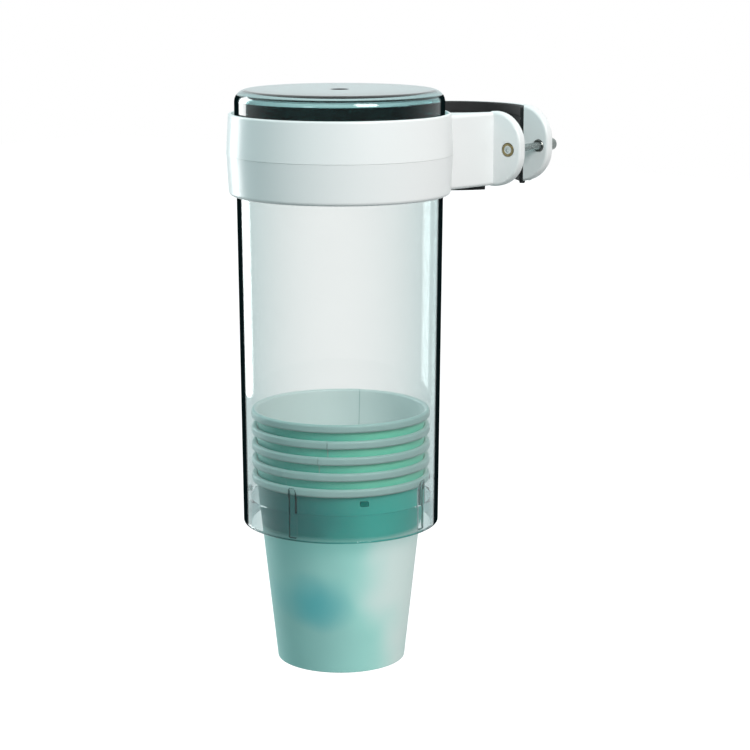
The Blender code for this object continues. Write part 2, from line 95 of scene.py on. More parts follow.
class Nodes:
    """The nodes of a material or of the world."""

    def __init__(self, owner):
        owner.use_nodes = True
        self.owner = owner
        self.tree = owner.node_tree
        self.tree.nodes.clear()

    def add(self, kind, settings=None, sockets=None, output=0):
        """Adds a node, sets it up, fills its sockets and returns one of its outputs."""
        node = self.tree.nodes.new("ShaderNode" + kind)
        for name, setting in (settings or {}).items():
            setattr(node, name, setting)
        for name, value in (sockets or {}).items():
            if isinstance(value, Value):
                self.tree.links.new(value.socket, node.inputs[name])
            else:
                node.inputs[name].default_value = value
        return Value(self, node.outputs[output]) if len(node.outputs) else None

    def mix(self, share, first, second):
        """Goes from the first colour to the second."""
        ends = [end if isinstance(end, Value) else (*end, 1) for end in (first, second)]
        return self.add("Mix", {"data_type": "RGBA"}, {0: share, 6: ends[0], 7: ends[1]}, 2)

    def blend(self, share, first, second):
        """Goes from the first shader to the second."""
        return self.add("MixShader", None, {0: share, 1: first, 2: second})

    def clamp(self, value):
        return self.add("Clamp", None, {"Value": value})

    def ramp(self, value, start, end, to=(0.0, 1.0), kind="SMOOTHSTEP"):
        """Carries a value from one range to another and holds it at the ends."""
        return self.add("MapRange", {"interpolation_type": kind}, {
            "Value": value, "From Min": start, "From Max": end, "To Min": to[0], "To Max": to[1],
        })

    def height(self, place):
        return self.add("SeparateXYZ", None, {0: place}, "Z")

    def along(self, place, way):
        """How far a place or a direction goes one way."""
        return self.add("VectorMath", {"operation": "DOT_PRODUCT"}, {0: place, 1: way}, "Value")

    def light_path(self, ray):
        """1 for one kind of ray."""
        return self.add("LightPath", output=f"Is {ray} Ray")

    def close(self, surface, kind="OutputMaterial"):
        """Links the finished surface and returns the material or world."""
        self.add(kind, None, {"Surface": surface})
        return self.owner


def seen_rays(nodes):
    """1 for rays that see the studio straight, by reflection or through clear plastic."""
    seen = nodes.light_path("Camera") + nodes.light_path("Glossy")
    return nodes.clamp(seen + nodes.light_path("Transmission"))


def mirror_rays(nodes):
    """1 for rays that a glossy surface reflects, and not for those that pass through plastic."""
    return nodes.light_path("Glossy") * nodes.light_path("Reflection")


BACKDROP_WAY = (-math.sin(math.radians(PHOTO_TURN)), math.cos(math.radians(PHOTO_TURN)), 0)
BACKDROP_SPREAD = (-0.5, 0.6)
FRONT_SHADE = 0.22
MIRRORED_WHITE = (0.83, 0.89, 0.90)


def backdrop_shade(nodes, way):
    """How bright a reflection of the studio is: white towards the back, dim towards the front."""
    return nodes.ramp(nodes.along(way, BACKDROP_WAY), *BACKDROP_SPREAD, to=(FRONT_SHADE, 1.0))


FILL_LEFT, FILL_RIGHT = (0.48, 0.90, 0.92), (0.93, 0.93, 0.92)
FILL_WAY = (BACKDROP_WAY[1], -BACKDROP_WAY[0], 0)
FILL_SPREAD = (-0.7, 0.35)
FILL_LEVEL = 0.22
FILL_RISE = 0.90
world = bpy.data.worlds.new("studio")
bpy.context.scene.world = world
nodes = Nodes(world)
way = nodes.add("TexCoord")
right = nodes.ramp(nodes.along(way, FILL_WAY), *FILL_SPREAD, kind="LINEAR")
fill = nodes.add("Background", None, {
    "Color": nodes.mix(right, FILL_LEFT, FILL_RIGHT),
    "Strength": FILL_LEVEL + FILL_RISE * nodes.clamp(nodes.height(way)),
})
mirror = mirror_rays(nodes)
white = nodes.add("Background", None, {
    "Color": nodes.mix(mirror, (1, 1, 1), MIRRORED_WHITE),
    "Strength": 1 - mirror * (1 - backdrop_shade(nodes, way)),
})
nodes.close(nodes.blend(seen_rays(nodes), fill, white), "OutputWorld")

FLOOR_DEPTH = 0.5
FLOOR_SIZE = 8.0
FLOOR_PAPER = (0.27, 0.27, 0.27)
FLOOR_GLOW = 0.95
FLOOR_WAY_SCALE = 0.4
shape = bmesh.new()
bmesh.ops.create_grid(
    shape, x_segments=1, y_segments=1, size=FLOOR_SIZE / 2,
    matrix=Matrix.Translation((0, 0, -FLOOR_DEPTH)),
)
floor = bpy.data.objects.new("floor", bpy.data.meshes.new("floor"))
shape.to_mesh(floor.data)
shape.free()
bpy.context.scene.collection.objects.link(floor)
nodes = Nodes(bpy.data.materials.new("floor_paper"))
paper = nodes.add("BsdfDiffuse", None, {"Color": (*FLOOR_PAPER, 1)})
glow = nodes.add("Emission", None, {"Color": (1, 1, 1, 1), "Strength": FLOOR_GLOW})
lit_paper = nodes.add("AddShader", None, {0: paper, 1: glow})
seen_paper = nodes.blend(seen_rays(nodes), paper, lit_paper)
way = nodes.add("VectorMath", {"operation": "SCALE"}, {
    0: nodes.add("TexCoord", output="Object"), "Scale": FLOOR_WAY_SCALE,
})
mirrored = nodes.add("Emission", None, {
    "Color": (*MIRRORED_WHITE, 1), "Strength": backdrop_shade(nodes, way),
})
floor.data.materials.append(nodes.close(nodes.blend(mirror_rays(nodes), seen_paper, mirrored)))

LIGHT_AIM = Vector((0, -0.06, -0.08))


def soft_box(name, turn, rise, distance, size, power, colour=(1, 1, 1)):
    """An area lamp aimed at the dispenser. Its turn is counted from the camera, to the right."""
    lamp = bpy.data.lights.new(name, "AREA")
    lamp.shape = "RECTANGLE"
    lamp.size, lamp.size_y = size
    lamp.energy = power
    lamp.color = colour
    stand = bpy.data.objects.new(name, lamp)
    angle, lift = math.radians(PHOTO_TURN + turn), math.radians(rise)
    level = math.cos(lift)
    way = Vector((math.sin(angle) * level, -math.cos(angle) * level, math.sin(lift)))
    stand.location = LIGHT_AIM + way * distance
    stand.rotation_euler = way.to_track_quat("Z", "Y").to_euler()
    bpy.context.scene.collection.objects.link(stand)


soft_box("key", 31, 34, distance=1.2, size=(0.45, 0.5), power=9.2, colour=(1, 0.96, 0.95))
soft_box("left_fill", -32, 18, distance=1.3, size=(0.25, 0.3), power=0.6, colour=(0.75, 0.95, 1.0))
soft_box("left_rim", -129.5, 8.2, distance=1.1, size=(0.40, 0.85), power=6.6)


# The bracket, one moulding of glossy white ABS: a ring that carries the tube, a short box arm cored
# from below, and the front jaw with its two wings. The tool's two halves meet on the ring at its
# widest.
AXIS_Y = -0.077198
TURN_STEPS = 144
CORNER_STEPS = 24
EDGE_STEPS = 5
SMALL_EDGE_STEPS = 3
MERGE = 0.000002
SHARP_ANGLE = math.radians(32)
CUT_OVERRUN = 0.002
TUBE_AXIS = Matrix.Translation((0, AXIS_Y, 0))
STANDING = Matrix.Rotation(math.pi / 2, 4, "X")
ALONG_Y = Matrix.Rotation(-math.pi / 2, 4, "X")


def solid(name, shape, place=Matrix()):
    """Turns a bmesh into an object in its place, with its faces outwards."""
    bmesh.ops.remove_doubles(shape, verts=shape.verts, dist=MERGE)
    bmesh.ops.recalc_face_normals(shape, faces=shape.faces)
    bmesh.ops.transform(shape, matrix=place, verts=shape.verts)
    mesh = bpy.data.meshes.new(name)
    shape.to_mesh(mesh)
    shape.free()
    piece = bpy.data.objects.new(name, mesh)
    bpy.context.scene.collection.objects.link(piece)
    return piece


def soften(shape, items, width, steps=EDGE_STEPS, affect="EDGES"):
    """Rounds some edges or vertices of a bmesh."""
    bmesh.ops.bevel(
        shape, geom=items, offset=width, offset_type="OFFSET", segments=steps, profile=0.5,
        affect=affect, material=-1, clamp_overlap=True,
    )


def outline(points, closed=True, steps=EDGE_STEPS):
    """A bmesh of one outline in XZ. A point's third number, if any, rounds it."""
    shape = bmesh.new()
    corners = [shape.verts.new((point[0], 0, point[1])) for point in points]
    for first, second in zip(corners, corners[1:]):
        shape.edges.new((first, second))
    if closed:
        shape.edges.new((corners[-1], corners[0]))
    for corner, point in zip(corners, points):
        if len(point) == 3:
            soften(shape, [corner], point[2], steps, "VERTICES")
    return shape


def turned(shape, steps=TURN_STEPS):
    """Spins an outline about Z."""
    bmesh.ops.spin(
        shape, geom=shape.verts[:] + shape.edges[:], cent=(0, 0, 0), axis=(0, 0, 1),
        angle=math.tau, steps=steps, use_merge=True,
    )
    return shape


def pushed(points, depth):
    """A flat outline in XY, its marked corners rounded, pushed up by depth."""
    shape = bmesh.new()
    corners = [shape.verts.new((point[0], point[1], 0)) for point in points]
    shape.faces.new(corners)
    for corner, point in zip(corners, points):
        if len(point) == 3:
            soften(shape, [corner], point[2], CORNER_STEPS, "VERTICES")
    raised = bmesh.ops.extrude_face_region(shape, geom=shape.faces[:])
    top = [item for item in raised["geom"] if isinstance(item, bmesh.types.BMVert)]
    bmesh.ops.translate(shape, verts=top, vec=(0, 0, depth))
    return shape


def rod(radius, low, high, steps=TURN_STEPS):
    """An upright cylinder on the Z axis."""
    shape = bmesh.new()
    bmesh.ops.create_cone(
        shape, cap_ends=True, segments=steps, radius1=radius, radius2=radius, depth=high - low,
        matrix=Matrix.Translation((0, 0, (low + high) / 2)),
    )
    return shape


def level_edges(shape, *heights):
    """The edges that lie level at any of some heights."""
    return [
        edge for height in heights for edge in shape.edges
        if all(abs(end.co.z - height) < MERGE for end in edge.verts)
    ]


def combine(piece, other, operation="UNION"):
    """Joins another solid to a piece, or cuts it away, and keeps only the result."""
    change = piece.modifiers.new("combine", "BOOLEAN")
    change.operation = operation
    change.solver = "EXACT"
    change.object = other
    result = piece.evaluated_get(bpy.context.evaluated_depsgraph_get())
    mesh = bpy.data.meshes.new_from_object(result)
    piece.modifiers.clear()
    piece.data = mesh
    bpy.data.objects.remove(other)


def finish_piece(piece, node, body, slot, *finishes, sorted_by=None):
    """Smooths a piece's round faces, gives it its finishes and puts it in its node's place."""
    shape = bmesh.new()
    shape.from_mesh(piece.data)
    bmesh.ops.remove_doubles(shape, verts=shape.verts, dist=MERGE)
    for face in shape.faces:
        face.smooth = True
    for edge in shape.edges:
        edge.smooth = edge.calc_face_angle(0) < SHARP_ANGLE
    shape.to_mesh(piece.data)
    shape.free()
    piece.data.materials.clear()
    for finish in finishes:
        piece.data.materials.append(finish)
    if sorted_by:
        for face in piece.data.polygons:
            face.material_index = sorted_by(face)
    weighted = piece.modifiers.new("even shading", "WEIGHTED_NORMAL")
    weighted.keep_sharp = True
    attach(piece, body)
    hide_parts(node)


RING_HALF_HEIGHT = 0.01625
RING_RADIUS = 0.044477
RING_SWELL = 0.001
RING_BORE = 0.042028
RING_MOUTH = 0.043278
SEAT_Z = 0.01125
RING_TOP_EDGE = 0.00084
RING_FOOT_EDGE = 0.0016
SEAM_STEP_IN = 0.00016
SMALL_EDGE = 0.0003


def make_ring():
    """The ring, with the ledge that the tube's flange hangs on."""
    top, bottom = RING_HALF_HEIGHT, -RING_HALF_HEIGHT
    widest = RING_RADIUS + RING_SWELL
    points = [
        (RING_MOUTH, top, SMALL_EDGE), (RING_RADIUS, top, RING_TOP_EDGE),
        (widest, 0), (widest - SEAM_STEP_IN, -SEAM_STEP_IN),
        (RING_RADIUS, bottom, RING_FOOT_EDGE),
        (RING_BORE, bottom, SMALL_EDGE), (RING_BORE, SEAT_Z), (RING_MOUTH, SEAT_Z),
    ]
    return solid("ring", turned(outline(points)), TUBE_AXIS)


SADDLE_RADIUS = 0.0327
JAW_HALF_GAP = 0.0094
JAW_THICKNESS = 0.0045
JAW_FACE = JAW_HALF_GAP + JAW_THICKNESS
JAW_HALF_WIDTH = 0.0447
JAW_CORNER = 0.0135
JAW_EDGE = 0.0012
JAW_LOW, JAW_HIGH = -0.0169, 0.0141
ARM_STEP = 0.0003
ARM_ROOT_Y = -0.0472
ARM_ROOT_HALF_WIDTH = 0.0259
ARM_END_HALF_WIDTH = 0.0316
ARM_EDGE = 0.0015
ARM_FILLET = 0.0012
ARM_WALL = 0.002
ARM_ROOF = 0.0025
ARM_CORE_RADIUS = 0.0438
POCKET_START = 0.014
SIDES = {"right": 1, "left": -1}


def arm_half_width(y):
    """The flared arm's half width at a place along Y."""
    share = (y - ARM_ROOT_Y) / (-JAW_FACE - ARM_ROOT_Y)
    return ARM_ROOT_HALF_WIDTH + (ARM_END_HALF_WIDTH - ARM_ROOT_HALF_WIDTH) * share


def make_arm():
    """The arm, solid, from inside the ring's wall to the middle of the front jaw."""
    end = -JAW_FACE + JAW_THICKNESS / 2
    wide, narrow = arm_half_width(end), arm_half_width(ARM_ROOT_Y)
    shape = pushed(
        [(-narrow, ARM_ROOT_Y), (narrow, ARM_ROOT_Y), (wide, end), (-wide, end)],
        JAW_HIGH - JAW_LOW - 2 * ARM_STEP,
    )
    sides = [
        edge for edge in shape.edges
        if abs(edge.verts[0].co.x - edge.verts[1].co.x) < narrow / 2
        and abs(edge.verts[0].co.z - edge.verts[1].co.z) < MERGE
    ]
    soften(shape, sides, ARM_EDGE)
    return solid("arm", shape, Matrix.Translation((0, 0, JAW_LOW + ARM_STEP)))


def make_wings(name, front, trim=0.0, rise=0.0):
    """A jaw's two wings: a bar with well rounded ends, its face edges rounded."""
    half_width, high, corner = JAW_HALF_WIDTH - trim, JAW_HIGH + rise, JAW_CORNER + rise / 2
    shape = pushed([
        (side * half_width, height, corner)
        for side, height in ((-1, JAW_LOW), (1, JAW_LOW), (1, high), (-1, high))
    ], JAW_THICKNESS)
    bmesh.ops.recalc_face_normals(shape, faces=shape.faces)
    soften(shape, level_edges(shape, 0, JAW_THICKNESS), JAW_EDGE)
    return solid(name, shape, Matrix.Translation((0, front + JAW_THICKNESS, 0)) @ STANDING)


def grip_space():
    """The round space between the jaws, as wide as the saddles that the pads are bonded in."""
    return solid("grip_space", rod(SADDLE_RADIUS, JAW_LOW - CUT_OVERRUN, JAW_HIGH + CUT_OVERRUN))


def make_pockets():
    """Two cored pockets, open below, between the ring, the saddle and the arm's sides."""
    low, high = JAW_LOW - CUT_OVERRUN, JAW_HIGH - ARM_STEP - ARM_ROOF
    plan = [
        (POCKET_START, ARM_ROOT_Y), (arm_half_width(ARM_ROOT_Y) - ARM_WALL, ARM_ROOT_Y),
        (arm_half_width(-JAW_FACE) - ARM_WALL, -JAW_FACE), (POCKET_START, -JAW_FACE),
    ]
    lift = Matrix.Translation((0, 0, low))
    pockets, left_pocket = (
        solid("pocket", pushed([(side * x, y) for x, y in plan], high - low), lift)
        for side in SIDES.values()
    )
    combine(pockets, left_pocket)
    tall = (low - CUT_OVERRUN, high + CUT_OVERRUN)
    combine(pockets, solid("ring_core", rod(RING_BORE + ARM_WALL, *tall), TUBE_AXIS), "DIFFERENCE")
    combine(pockets, solid("saddle_core", rod(SADDLE_RADIUS + ARM_WALL, *tall)), "DIFFERENCE")
    return pockets


SCREW_OUT = 0.0387
SCREW_Z = -0.0014
SCREW_RADIUS = 0.0015
SCREW_GAP = 0.0002
HEAD_RADIUS = 0.0028
HEAD_RIM = 0.0003
HEAD_DEPTH = 0.0016
SCREW_STEPS = 48


def screw_place(side, start=-JAW_FACE):
    """The line of a clamp screw from a place along Y, with local +Z along its shank."""
    return Matrix.Translation((side * SCREW_OUT, start, SCREW_Z)) @ ALONG_Y


def countersink(side):
    """A screw's hole in the front jaw, with the cone for its head."""
    hole, head = SCREW_RADIUS + SCREW_GAP, HEAD_RADIUS + SCREW_GAP
    end = JAW_THICKNESS + CUT_OVERRUN
    points = [
        (0, end), (hole, end), (hole, HEAD_DEPTH + SCREW_GAP), (head, HEAD_RIM + SCREW_GAP),
        (head, -CUT_OVERRUN), (0, -CUT_OVERRUN),
    ]
    shape = turned(outline(points, closed=False), SCREW_STEPS)
    return solid("countersink", shape, screw_place(side))


def fillet_arm(piece):
    """Softens the upright corners where the arm's sides meet the front jaw."""
    shape = bmesh.new()
    shape.from_mesh(piece.data)
    corners = [
        edge for edge in shape.edges
        if all(
            abs(end.co.y + JAW_FACE) < MERGE
            and abs(abs(end.co.x) - arm_half_width(-JAW_FACE)) < ARM_EDGE
            for end in edge.verts
        )
    ]
    soften(shape, corners, ARM_FILLET)
    shape.to_mesh(piece.data)
    shape.free()


ABS_WHITE = (0.86, 0.885, 0.885)
CLOUDING = 0.985


class Finish(Nodes):
    """The nodes of a piece's finish, on Object coordinates."""

    def __init__(self, name):
        super().__init__(bpy.data.materials.new(name))
        self.place = self.add("TexCoord", output="Object")

    def noise(self, scale, detail, place=None, **more):
        sockets = {"Vector": place or self.place, "Scale": scale, "Detail": detail}
        return self.add("TexNoise", None, {**sockets, **more})

    def bump(self, height, strength, distance):
        sockets = {"Height": height, "Strength": strength, "Distance": distance}
        return self.add("Bump", None, sockets)

    def clouded(self, cloud, colour):
        """A colour that varies as little as that of moulded plastic."""
        return self.mix(cloud, [part * CLOUDING for part in colour], colour)

    def principled(self, colour, roughness, **more):
        sockets = {"Base Color": colour, "Roughness": roughness}
        sockets.update((name.replace("_", " "), value) for name, value in more.items())
        return self.add("BsdfPrincipled", None, sockets)


def white_plastic():
    """Glossy white ABS with the faint ripple of a moulded skin."""
    finish = Finish("white_plastic")
    cloud = finish.noise(40.0, 3.0)
    return finish.close(finish.principled(
        finish.clouded(cloud, ABS_WHITE), 0.25 + cloud * 0.08, IOR=1.54,
        Normal=finish.bump(finish.noise(900.0, 2.0), 0.05, 0.0002),
    ))


abs_white = white_plastic()
bracket = make_arm()
combine(bracket, make_wings("front_wings", -JAW_FACE))
fillet_arm(bracket)
combine(bracket, grip_space(), "DIFFERENCE")
combine(bracket, make_pockets(), "DIFFERENCE")
core = rod(ARM_CORE_RADIUS, JAW_LOW - CUT_OVERRUN, JAW_HIGH + CUT_OVERRUN)
combine(bracket, solid("arm_core", core, TUBE_AXIS), "DIFFERENCE")
combine(bracket, make_ring())
for side in SIDES.values():
    combine(bracket, countersink(side), "DIFFERENCE")
bracket.name = "bracket_moulding"
finish_piece(bracket, "bracket", "bracket", "white_plastic", abs_white)


# The rear jaw, the second white ABS moulding: a half round saddle with two wings, a little shorter
# and taller than the front ones. The clamp screws draw it towards the front jaw.
SADDLE_WALL = 0.0036
INSERT_RADIUS = 0.0025
REAR_WING_TRIM = 0.0013
REAR_WING_RISE = 0.0012


def cut_off(shape, point, way):
    """Cuts away what lies past a point in one direction, and closes the cut."""
    cut = bmesh.ops.bisect_plane(
        shape, geom=shape.verts[:] + shape.edges[:] + shape.faces[:], plane_co=point,
        plane_no=way, clear_outer=True,
    )
    rim = [item for item in cut["geom_cut"] if isinstance(item, bmesh.types.BMEdge)]
    bmesh.ops.edgenet_fill(shape, edges=rim)


def make_saddle():
    """The half round wall behind the rear jaw's wings."""
    low, high = JAW_LOW + ARM_STEP, JAW_HIGH - ARM_STEP
    shape = rod(SADDLE_RADIUS + SADDLE_WALL, low, high)
    soften(shape, level_edges(shape, low, high), JAW_EDGE)
    cut_off(shape, (0, JAW_HALF_GAP + JAW_THICKNESS / 2, 0), (0, -1, 0))
    return solid("saddle", shape)


def insert_hole(side):
    """The hole that holds a thread insert."""
    low, high = JAW_HALF_GAP - CUT_OVERRUN, JAW_FACE + CUT_OVERRUN
    shape = rod(INSERT_RADIUS + SCREW_GAP, low, high, SCREW_STEPS)
    return solid("insert_hole", shape, screw_place(side, 0))


rear_jaw = make_wings("rear_wings", JAW_HALF_GAP, REAR_WING_TRIM, REAR_WING_RISE)
combine(rear_jaw, make_saddle())
combine(rear_jaw, grip_space(), "DIFFERENCE")
for side in SIDES.values():
    combine(rear_jaw, insert_hole(side), "DIFFERENCE")
rear_jaw.name = "rear_jaw_moulding"
finish_piece(rear_jaw, "rear_jaw", "clamp_jaw", "white_plastic", abs_white)


# The pads, two liners of matt black rubber bonded in the saddles, with shallow grooves on the side
# that grips.
PAD_INNER, PAD_OUTER = 0.030, 0.0324
PAD_HALF_ANGLE = 62
PAD_LOW, PAD_HIGH = -0.0184, 0.0138
PAD_EDGE = 0.0005
PAD_STEPS = 48
GROOVE_COUNT = 6
GROOVE_DEPTH = 0.0004
GROOVE_WIDTH = 0.0011
RUBBER_BLACK, RUBBER_BLOOM = (0.012, 0.012, 0.013), (0.035, 0.036, 0.037)


def make_pad(name, middle):
    """A rubber liner, centred on a plan angle."""
    points = [
        (PAD_OUTER, PAD_LOW, PAD_EDGE), (PAD_OUTER, PAD_HIGH, PAD_EDGE),
        (PAD_INNER, PAD_HIGH, PAD_EDGE),
    ]
    pitch = (PAD_HIGH - PAD_LOW) / (GROOVE_COUNT + 1)
    half = GROOVE_WIDTH / 2
    for number in range(GROOVE_COUNT):
        height = PAD_HIGH - pitch * (number + 1)
        points += [
            (PAD_INNER, height + half), (PAD_INNER + GROOVE_DEPTH, height + half / 2),
            (PAD_INNER + GROOVE_DEPTH, height - half / 2), (PAD_INNER, height - half),
        ]
    points.append((PAD_INNER, PAD_LOW, PAD_EDGE))
    shape = outline(points, steps=SMALL_EDGE_STEPS)
    section = bmesh.ops.edgenet_fill(shape, edges=shape.edges)["faces"]
    bmesh.ops.spin(
        shape, geom=section, cent=(0, 0, 0), axis=(0, 0, 1),
        angle=math.radians(2 * PAD_HALF_ANGLE), steps=PAD_STEPS, use_merge=False,
    )
    return solid(name, shape, Matrix.Rotation(math.radians(middle - PAD_HALF_ANGLE), 4, "Z"))


def black_rubber():
    """Matt rubber with a fine grain and a little chalky bloom."""
    finish = Finish("black_rubber")
    bloom = finish.noise(90.0, 4.0)
    return finish.close(finish.principled(
        finish.mix(bloom, RUBBER_BLACK, RUBBER_BLOOM), 0.62 + bloom * 0.25,
        Normal=finish.bump(finish.noise(2500.0, 3.0), 0.35, 0.0001),
    ))


rubber = black_rubber()
finish_piece(make_pad("front_pad_liner", -90), "front_pad", "bracket", "black_rubber", rubber)
finish_piece(make_pad("rear_pad_liner", 90), "rear_pad", "clamp_jaw", "black_rubber", rubber)


# The clamp screws, two long countersunk screws of zinc-plated steel with a hexagon socket, and the
# brass thread inserts pressed into the rear jaw that they pull on.
SCREW_LENGTH = 0.035
HEAD_EDGE, HEAD_FACE_EDGE = 0.0001, 0.00015
GILT_RADIUS = 0.0017
SOCKET_RADIUS = 0.00115
SOCKET_DEPTH = 0.0004
SOCKET_SIDES = 6
THREAD_PITCH = 0.0005
THREAD_DEPTH = 0.00028
THREAD_STEPS = 24
THREAD_START = 0.0042
THREAD_LAP = 0.0005
TIP_LENGTH = 0.0003
TIP_LAP = 0.0002
TIP_EDGE = 0.0002
TIP_TAPER = 1.2
INSERT_PROUD = 0.0003
INSERT_CHAMFER = 0.0002
INSERT_TAIL = 0.0064


def make_thread(low, high, place):
    """The threaded shank, spun from one tooth and cut off square at both ends."""
    crest, root, flat = SCREW_RADIUS, SCREW_RADIUS - THREAD_DEPTH, THREAD_PITCH / 8
    start = low - 2 * THREAD_PITCH
    turns = math.ceil((high - low) / THREAD_PITCH) + 4
    shape = outline([
        (root, start), (root, start + flat), (crest, start + THREAD_PITCH / 2 - flat / 2),
        (crest, start + THREAD_PITCH / 2 + flat / 2), (root, start + THREAD_PITCH - flat),
        (root, start + THREAD_PITCH),
    ], closed=False)
    bmesh.ops.spin(
        shape, geom=shape.verts[:] + shape.edges[:], cent=(0, 0, 0), axis=(0, 0, 1),
        dvec=(0, 0, THREAD_PITCH / THREAD_STEPS), angle=math.tau * turns,
        steps=THREAD_STEPS * turns, use_merge=False,
    )
    bmesh.ops.remove_doubles(shape, verts=shape.verts, dist=MERGE)
    cut_off(shape, (0, 0, low), (0, 0, -1))
    cut_off(shape, (0, 0, high), (0, 0, 1))
    return solid("thread", shape, place)


def make_screw(name, side):
    """A countersunk screw: head, plain neck, threaded shank and tip, with its socket."""
    place = screw_place(side)
    points = [
        (0, THREAD_START), (SCREW_RADIUS, THREAD_START), (SCREW_RADIUS, HEAD_DEPTH),
        (HEAD_RADIUS, HEAD_RIM, HEAD_EDGE), (HEAD_RADIUS, 0, HEAD_FACE_EDGE),
        (GILT_RADIUS, 0), (0, 0),
    ]
    screw = solid(name, turned(outline(points, closed=False), SCREW_STEPS), place)
    thread_end = SCREW_LENGTH - TIP_LENGTH
    combine(screw, make_thread(THREAD_START - THREAD_LAP, thread_end, place))
    tip_start, tip_radius = thread_end - TIP_LAP, SCREW_RADIUS - THREAD_DEPTH * TIP_TAPER
    points = [
        (0, tip_start), (tip_radius, tip_start), (tip_radius, SCREW_LENGTH, TIP_EDGE),
        (0, SCREW_LENGTH),
    ]
    combine(screw, solid("tip", turned(outline(points, closed=False), THREAD_STEPS), place))
    socket = rod(SOCKET_RADIUS, -CUT_OVERRUN, SOCKET_DEPTH, SOCKET_SIDES)
    combine(screw, solid("socket", socket, place), "DIFFERENCE")
    return screw


def make_insert(name, side):
    """A nickelled brass sleeve that runs through the wing and out behind it."""
    outer, inner = INSERT_RADIUS, SCREW_RADIUS + SCREW_GAP / 2
    low, high = JAW_HALF_GAP - INSERT_PROUD, JAW_FACE + INSERT_TAIL
    points = [
        (inner, high), (outer, high, INSERT_CHAMFER), (outer, low, INSERT_CHAMFER), (inner, low),
    ]
    shape = turned(outline(points, steps=1), 2 * SCREW_STEPS)
    return solid(name, shape, screw_place(side, 0))


def metal(name, bright, dull, rough):
    """Bright metal with fine turning marks and some tarnish."""
    finish = Finish(name)
    turning = finish.add("Mapping", None, {
        "Vector": finish.place, "Scale": (6000.0, 700.0, 6000.0),
    })
    tarnish = finish.noise(700.0, 4.0)
    return finish.close(finish.principled(
        finish.mix(tarnish, bright, dull), rough + tarnish * 0.15, Metallic=1.0,
        Normal=finish.bump(finish.noise(1.0, 2.0, turning), 0.2, 0.00005),
    ))


def head_rim(face):
    """1 for the gilt-looking rim of a screw's head."""
    out = Vector((abs(face.center.x) - SCREW_OUT, face.center.z - SCREW_Z))
    return int(out.length > GILT_RADIUS and face.center.y < -JAW_HALF_GAP)


zinc = metal("zinc_plated_steel", (0.76, 0.84, 0.84), (0.50, 0.56, 0.54), 0.2)
gilt = metal("yellow_zinc", (0.38, 0.33, 0.17), (0.18, 0.15, 0.08), 0.18)
nickel = metal("nickelled_brass", (0.44, 0.47, 0.45), (0.20, 0.21, 0.20), 0.22)
for side_name, side in SIDES.items():
    screw = make_screw(f"clamp_screw_{side_name}_thread", side)
    finish_piece(
        screw, f"clamp_screw_{side_name}", f"screw_{side_name}", "bright_steel", zinc, gilt,
        sorted_by=head_rim,
    )
    insert = make_insert(f"insert_{side_name}_ring", side)
    finish_piece(insert, f"thread_insert_{side_name}", "clamp_jaw", "brass", nickel)


# The tube, moulded in smoke-clear plastic with a little draft. It hangs in the ring by a flange,
# and has a round lip at its mouth and four pips inside.
FLANGE_LOW, FLANGE_HIGH = 0.01155, 0.01355
FLANGE_RADIUS = 0.042978
TUBE_WALL = 0.0016
TUBE_TOP_INNER = 0.040128
MOUTH_INNER = 0.0384
MOUTH_Z = -0.151
FULL_ROUND = 0.49
RIB_COUNT = 4
RIB_TURN = 6.6
PIP_WIDTH, PIP_HEIGHT, PIP_RISE = 0.0033, 0.002, 0.0168
RETAINER_INNER = 0.0369
SMOKE_TINT = (0.87, 0.875, 0.87)
SMOKE_LAMP_TINT = (0.64, 0.76, 0.75)
# Painted shade: the nearly black colour of a wall's edge where it is seen on end.
EDGE_PAINTED_SHADE = (0.003, 0.008, 0.009)
SLANT_TINT = (0.26, 0.44, 0.45)
SLANT_SHARE = 0.75
JUST_OVER_ONE = 1.0001
PLASTIC_INDEX = 1.5
TUBE_INDEX = 1.36
# Where the painted shade of the wall's edge starts and where it is full, as shares of how far aside
# the wall is seen.
WALL_EDGE = (0.66, 0.73)
# Painted shade: the pips are the tube's own clear plastic, painted dark in place of the shade they
# sit in.
PIP_PAINTED_SHADE = (0.10, 0.20, 0.19)
PIP_INDEX = 1.06
SKIN_TURN = 0.8


def tube_inner(z):
    """The tube's inner radius at a height."""
    share = (z - MOUTH_Z) / (FLANGE_HIGH - MOUTH_Z)
    return MOUTH_INNER + (TUBE_TOP_INNER - MOUTH_INNER) * share


